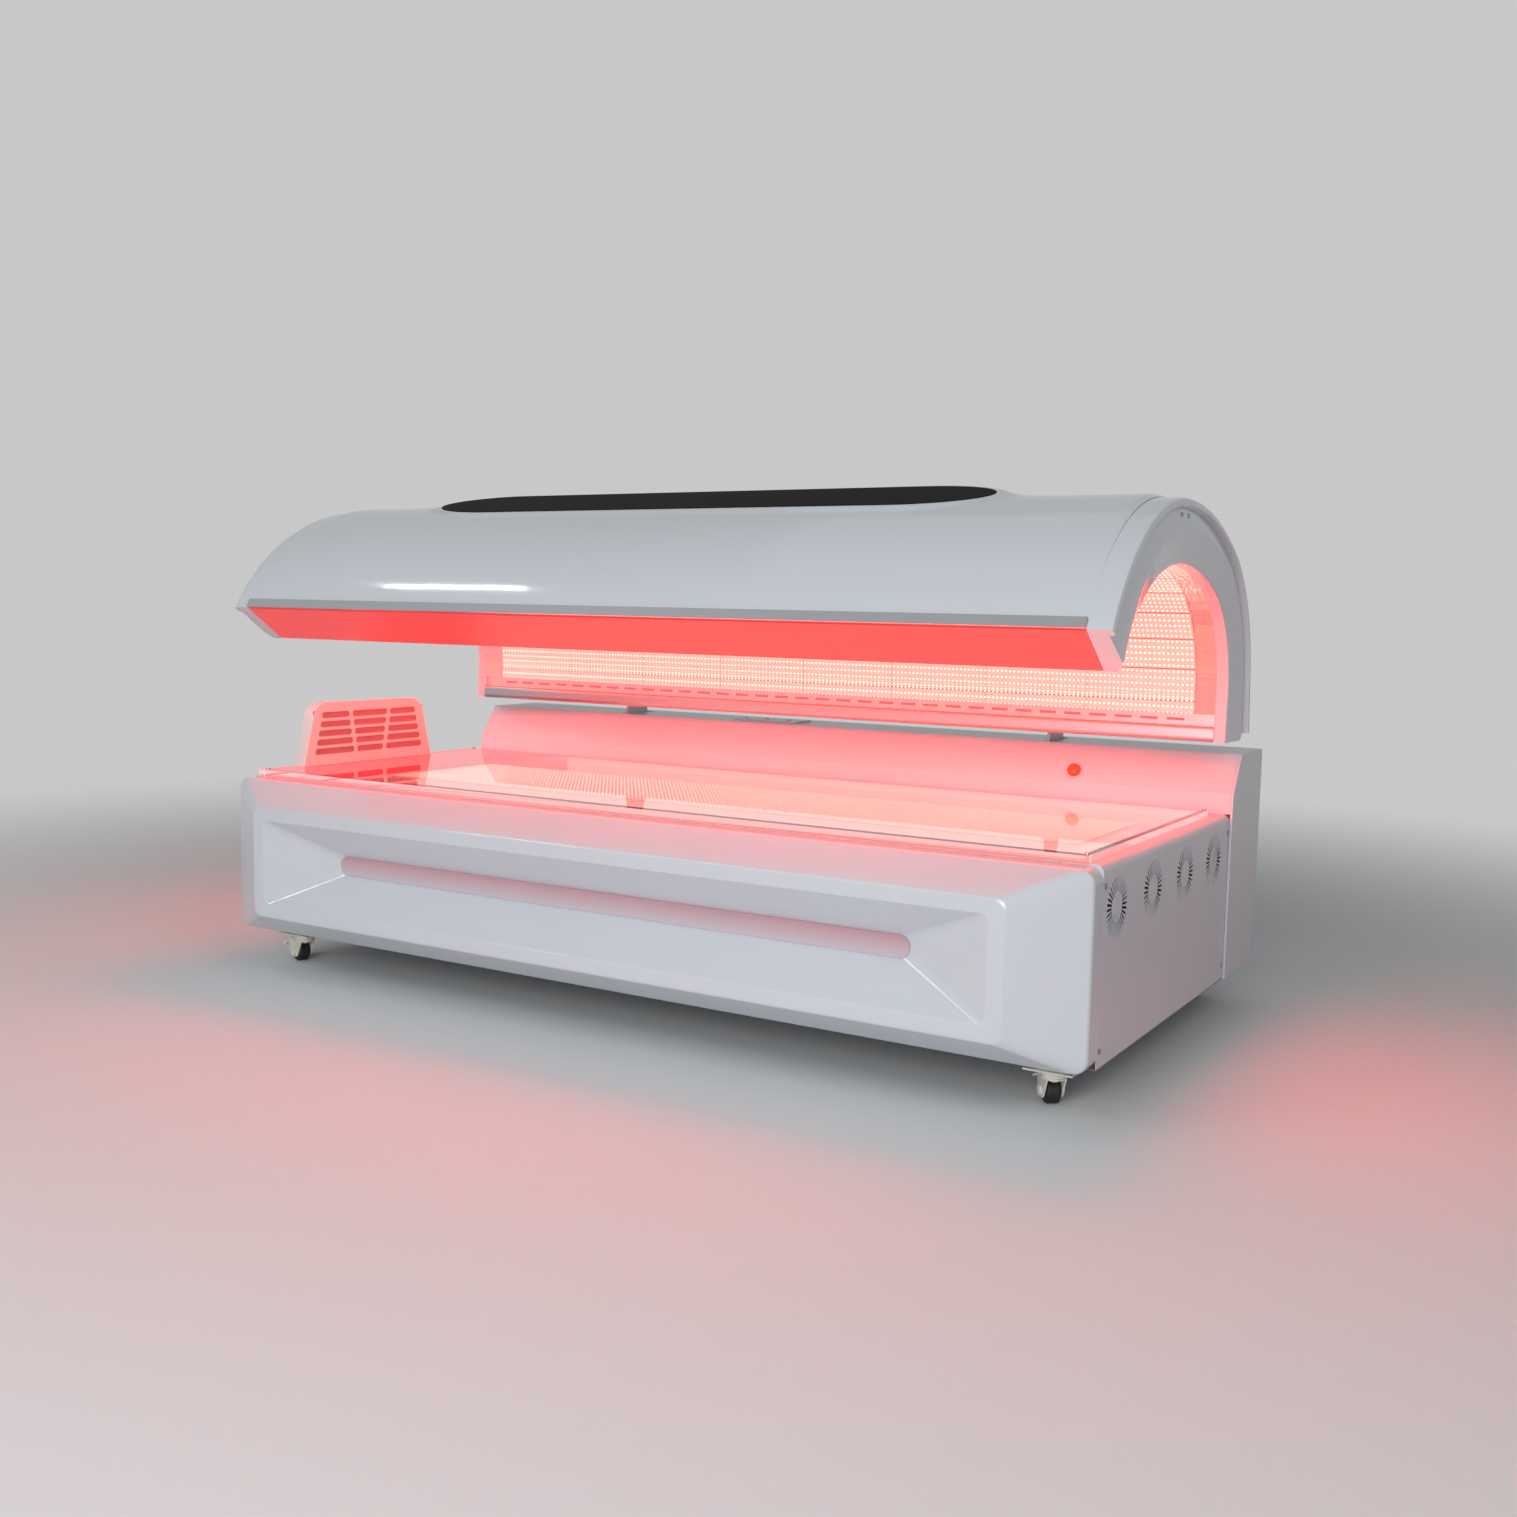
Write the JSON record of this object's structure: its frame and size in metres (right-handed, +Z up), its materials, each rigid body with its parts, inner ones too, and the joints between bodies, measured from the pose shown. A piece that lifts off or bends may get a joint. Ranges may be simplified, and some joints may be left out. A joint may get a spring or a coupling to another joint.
{
  "type": "red light therapy bed",
  "caption": "Full-body red light therapy bed: lit acrylic deck on a caster cabinet, with a lit arched canopy hinged along the back column on gas struts.",
  "frame": {"origin": "on the floor under the middle of the whole bed, in the pose of the picture", "axes": "+X along the bed's length from the face fan end, +Y from the front panel to the column, +Z up"},
  "size_m": [2.198, 1.207, 1.1706],
  "materials": {
    "gloss_white": "gloss white moulded shell",
    "white_paint": "smooth white powder coat on sheet steel",
    "grey_paint": "grey powder coat on steel",
    "clear_acrylic": "clear polished acrylic",
    "frosted_lens": "frosted acrylic light diffuser",
    "satin_aluminium": "satin anodised extrusion",
    "led_board": "white metal-core board lit red by its own lamps",
    "polished_reflector": "polished reflector sheet",
    "black_glass": "black glass, glossy",
    "black_plastic": "black moulded plastic",
    "white_plastic": "white moulded plastic",
    "red_plastic": "red moulded plastic",
    "supply_case": "folded aluminium case",
    "caster_steel": "off-white coated pressed steel",
    "wheel_rubber": "black rubber tread and hub",
    "strut_black": "black coated steel cylinder",
    "strut_chrome": "hard chromed rod",
    "screw_steel": "plain steel screw"
  },
  "bodies": {
    "base": {"base_frame": "grey_paint", "bed_acrylic": "clear_acrylic", "bed_led_boards": "led_board", "bed_led_tray": "satin_aluminium", "bottom_pan": "grey_paint", "cabinet_screws": "screw_steel", "caster_plates": "caster_steel", "column_back_panel": "white_paint", "column_end_panels": "white_paint", "column_front_cover": "white_paint", "column_top_cover": "white_paint", "control_box": "black_plastic", "deck_frame": "white_paint", "exhaust_fan_frames": "black_plastic", "face_fan_frames": "white_plastic", "face_fan_housing": "white_plastic", "front_light_channel": "satin_aluminium", "front_light_diffuser": "frosted_lens", "front_panel": "gloss_white", "hinge_blocks": "grey_paint", "left_side_panel": "white_paint", "mains_inlet": "black_plastic", "power_supplies": "supply_case", "right_side_panel": "white_paint", "stop_button_collar": "white_plastic", "strut_brackets": "grey_paint"},
    "canopy": {"canopy_acrylic": "clear_acrylic", "canopy_end_reflectors": "polished_reflector", "canopy_frame": "grey_paint", "canopy_front_rail": "satin_aluminium", "canopy_front_trim": "satin_aluminium", "canopy_led_boards": "led_board", "canopy_left_cap": "gloss_white", "canopy_rear_rail": "satin_aluminium", "canopy_right_cap": "gloss_white", "canopy_screws": "screw_steel", "canopy_shell": "gloss_white", "display_glass": "black_glass", "hinge_arms": "white_paint"},
    "caster_fork_front_left": {"caster_fork_front_left": "caster_steel"},
    "caster_fork_front_right": {"caster_fork_front_right": "caster_steel"},
    "caster_fork_rear_left": {"caster_fork_rear_left": "caster_steel"},
    "caster_fork_rear_right": {"caster_fork_rear_right": "caster_steel"},
    "caster_pedal_front_left": {"caster_pedal_front_left": "white_plastic"},
    "caster_pedal_front_right": {"caster_pedal_front_right": "white_plastic"},
    "caster_pedal_rear_left": {"caster_pedal_rear_left": "white_plastic"},
    "caster_pedal_rear_right": {"caster_pedal_rear_right": "white_plastic"},
    "caster_wheel_front_left": {"caster_wheel_front_left": "wheel_rubber"},
    "caster_wheel_front_right": {"caster_wheel_front_right": "wheel_rubber"},
    "caster_wheel_rear_left": {"caster_wheel_rear_left": "wheel_rubber"},
    "caster_wheel_rear_right": {"caster_wheel_rear_right": "wheel_rubber"},
    "exhaust_fan_rotor_1": {"exhaust_fan_rotor_1": "black_plastic"},
    "exhaust_fan_rotor_2": {"exhaust_fan_rotor_2": "black_plastic"},
    "exhaust_fan_rotor_3": {"exhaust_fan_rotor_3": "black_plastic"},
    "exhaust_fan_rotor_4": {"exhaust_fan_rotor_4": "black_plastic"},
    "face_fan_rotor_1": {"face_fan_rotor_1": "white_plastic"},
    "face_fan_rotor_2": {"face_fan_rotor_2": "white_plastic"},
    "stop_button": {"stop_button": "red_plastic"},
    "strut_cylinders": {"strut_cylinders": "strut_black"},
    "strut_rods": {"strut_rods": "strut_chrome"}
  },
  "joints": [
    {"name": "canopy_fold", "type": "hinge", "parent": "base", "child": "canopy", "pos_m": [0, 0.5025, 0.555], "axis": [1, 0, 0], "range_deg": [-15, 18.7]},
    {"name": "strut_tilt", "type": "hinge", "parent": "base", "child": "strut_cylinders", "pos_m": [0, 0.5545, 0.166], "axis": [1, 0, 0], "range_deg": [-3.6, 2.9]},
    {"name": "strut_stroke", "type": "slide", "parent": "strut_cylinders", "child": "strut_rods", "axis": [0, -0.3984, 0.9172], "range_m": [-0.035, 0.029]},
    {"name": "swivel_front_left", "type": "hinge", "parent": "base", "child": "caster_fork_front_left", "pos_m": [-0.985, -0.4175, 0.0645], "axis": [0, 0, 1], "continuous": true},
    {"name": "roll_front_left", "type": "hinge", "parent": "caster_fork_front_left", "child": "caster_wheel_front_left", "pos_m": [-1.00413, -0.41165, 0.025], "axis": [-0.2924, -0.9563, 0], "continuous": true},
    {"name": "brake_front_left", "type": "hinge", "parent": "caster_fork_front_left", "child": "caster_pedal_front_left", "pos_m": [-1.02517, -0.40522, 0.05], "axis": [-0.2924, -0.9563, 0], "range_deg": [0, 20]},
    {"name": "swivel_front_right", "type": "hinge", "parent": "base", "child": "caster_fork_front_right", "pos_m": [0.985, -0.4175, 0.0645], "axis": [0, 0, 1], "continuous": true},
    {"name": "roll_front_right", "type": "hinge", "parent": "caster_fork_front_right", "child": "caster_wheel_front_right", "pos_m": [0.97353, -0.40112, 0.025], "axis": [-0.8192, -0.5736, 0], "continuous": true},
    {"name": "brake_front_right", "type": "hinge", "parent": "caster_fork_front_right", "child": "caster_pedal_front_right", "pos_m": [0.96091, -0.3831, 0.05], "axis": [-0.8192, -0.5736, 0], "range_deg": [0, 20]},
    {"name": "swivel_rear_left", "type": "hinge", "parent": "base", "child": "caster_fork_rear_left", "pos_m": [-0.985, 0.5575, 0.0645], "axis": [0, 0, 1], "continuous": true},
    {"name": "roll_rear_left", "type": "hinge", "parent": "caster_fork_rear_left", "child": "caster_wheel_rear_left", "pos_m": [-1.00456, 0.56166, 0.025], "axis": [-0.2079, -0.9781, 0], "continuous": true},
    {"name": "brake_rear_left", "type": "hinge", "parent": "caster_fork_rear_left", "child": "caster_pedal_rear_left", "pos_m": [-1.02608, 0.56623, 0.05], "axis": [-0.2079, -0.9781, 0], "range_deg": [0, 20]},
    {"name": "swivel_rear_right", "type": "hinge", "parent": "base", "child": "caster_fork_rear_right", "pos_m": [0.985, 0.5575, 0.0645], "axis": [0, 0, 1], "continuous": true},
    {"name": "roll_rear_right", "type": "hinge", "parent": "caster_fork_rear_right", "child": "caster_wheel_rear_right", "pos_m": [0.96544, 0.56166, 0.025], "axis": [-0.2079, -0.9781, 0], "continuous": true},
    {"name": "brake_rear_right", "type": "hinge", "parent": "caster_fork_rear_right", "child": "caster_pedal_rear_right", "pos_m": [0.94392, 0.56623, 0.05], "axis": [-0.2079, -0.9781, 0], "range_deg": [0, 20]},
    {"name": "stop_press", "type": "slide", "parent": "base", "child": "stop_button", "axis": [0, 0.817, -0.5767], "range_m": [0, 0.005], "stiffness_N_per_m": 900, "springref_m": -0.001},
    {"name": "exhaust_spin_1", "type": "hinge", "parent": "base", "child": "exhaust_fan_rotor_1", "pos_m": [1.064, -0.4015, 0.384], "axis": [1, 0, 0], "continuous": true},
    {"name": "exhaust_spin_2", "type": "hinge", "parent": "base", "child": "exhaust_fan_rotor_2", "pos_m": [1.064, -0.1875, 0.384], "axis": [1, 0, 0], "continuous": true},
    {"name": "exhaust_spin_3", "type": "hinge", "parent": "base", "child": "exhaust_fan_rotor_3", "pos_m": [1.064, 0.0265, 0.384], "axis": [1, 0, 0], "continuous": true},
    {"name": "exhaust_spin_4", "type": "hinge", "parent": "base", "child": "exhaust_fan_rotor_4", "pos_m": [1.064, 0.2405, 0.384], "axis": [1, 0, 0], "continuous": true},
    {"name": "face_spin_1", "type": "hinge", "parent": "base", "child": "face_fan_rotor_1", "pos_m": [-1.033, -0.2605, 0.552], "axis": [1, 0, 0], "continuous": true},
    {"name": "face_spin_2", "type": "hinge", "parent": "base", "child": "face_fan_rotor_2", "pos_m": [-1.033, -0.0505, 0.552], "axis": [1, 0, 0], "continuous": true}
  ],
  "couplings": [
    {"joint": "strut_tilt", "follows": "canopy_fold", "ratio": -0.175},
    {"joint": "strut_stroke", "follows": "canopy_fold", "m_per_rad": -0.102}
  ]
}
